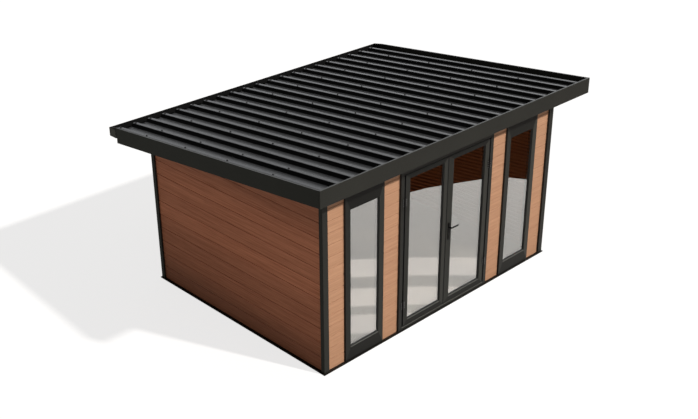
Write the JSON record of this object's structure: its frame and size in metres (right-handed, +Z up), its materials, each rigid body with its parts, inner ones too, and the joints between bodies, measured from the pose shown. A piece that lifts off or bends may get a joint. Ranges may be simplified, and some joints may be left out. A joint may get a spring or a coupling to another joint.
{
  "type": "garden shed",
  "caption": "Flat-sided garden shed with a single-pitch ribbed roof, clad timber walls, a glazed double door that opens outwards and tall fixed side windows.",
  "frame": {"origin": "on the ground, under the middle of the whole outline with the gutter", "axes": "+X to the right along the front as seen from outside, +Y from the front to the back, +Z up"},
  "size_m": [4.557, 3.684, 2.432],
  "materials": {
    "base_steel": "matt black powder coat",
    "floor_board": "dark vinyl-faced board, satin",
    "cladding": "cedar-coloured horizontal boards, matt",
    "trim_steel": "folded steel, satin black-brown coat",
    "glass": "clear sealed double glazing",
    "frame_aluminium": "powder-coated profile, fine satin",
    "hinge_steel": "coated steel, satin",
    "handle_metal": "satin brushed",
    "panel_skin": "coated steel skin",
    "ceiling_board": "smooth board, matt",
    "roof_steel": "black satin coated ribbed steel",
    "gutter_steel": "black coated steel, satin"
  },
  "bodies": {
    "shell": {"base_rail_front": "base_steel", "base_rail_back": "base_steel", "base_rail_left": "base_steel", "base_rail_right": "base_steel", "floor": "floor_board", "left_wall": "cladding", "right_wall": "cladding", "back_wall": "cladding", "front_header": "cladding", "outer_pier_left": "cladding", "outer_pier_right": "cladding", "inner_pier_left": "cladding", "inner_pier_right": "cladding", "corner_post_front_left": "trim_steel", "corner_post_front_right": "trim_steel", "corner_post_back_left": "trim_steel", "corner_post_back_right": "trim_steel", "window_frame_left": "frame_aluminium", "window_frame_right": "frame_aluminium", "window_glass_left": "glass", "window_glass_right": "glass", "door_frame": "frame_aluminium", "door_threshold": "frame_aluminium", "frame_hinges_left": "hinge_steel", "frame_hinges_right": "hinge_steel", "roof_panel": "panel_skin", "ceiling": "ceiling_board", "roof_sheet": "roof_steel", "fascia_front": "trim_steel", "fascia_back": "trim_steel", "fascia_left": "trim_steel", "fascia_right": "trim_steel", "gutter": "gutter_steel", "gutter_brackets": "gutter_steel"},
    "left_leaf": {"door_leaf_left": "frame_aluminium", "door_glass_left": "glass", "leaf_hinges_left": "hinge_steel"},
    "right_leaf": {"door_leaf_right": "frame_aluminium", "door_glass_right": "glass", "leaf_hinges_right": "hinge_steel", "handle_plates": "handle_metal"},
    "lever": {"door_lever": "handle_metal"}
  },
  "joints": [
    {"name": "left_leaf_hinge", "type": "hinge", "parent": "shell", "child": "left_leaf", "pos_m": [-0.738, -1.565, 1.01], "axis": [0, 0, -1], "range_deg": [0, 110]},
    {"name": "right_leaf_hinge", "type": "hinge", "parent": "shell", "child": "right_leaf", "pos_m": [0.738, -1.565, 1.01], "axis": [0, 0, 1], "range_deg": [0, 110]},
    {"name": "lever_turn", "type": "hinge", "parent": "right_leaf", "child": "lever", "pos_m": [0.03675, -1.526, 1.088], "axis": [0, 1, 0], "range_deg": [0, 45], "stiffness_Nm_per_rad": 1, "springref_deg": -22.92}
  ]
}
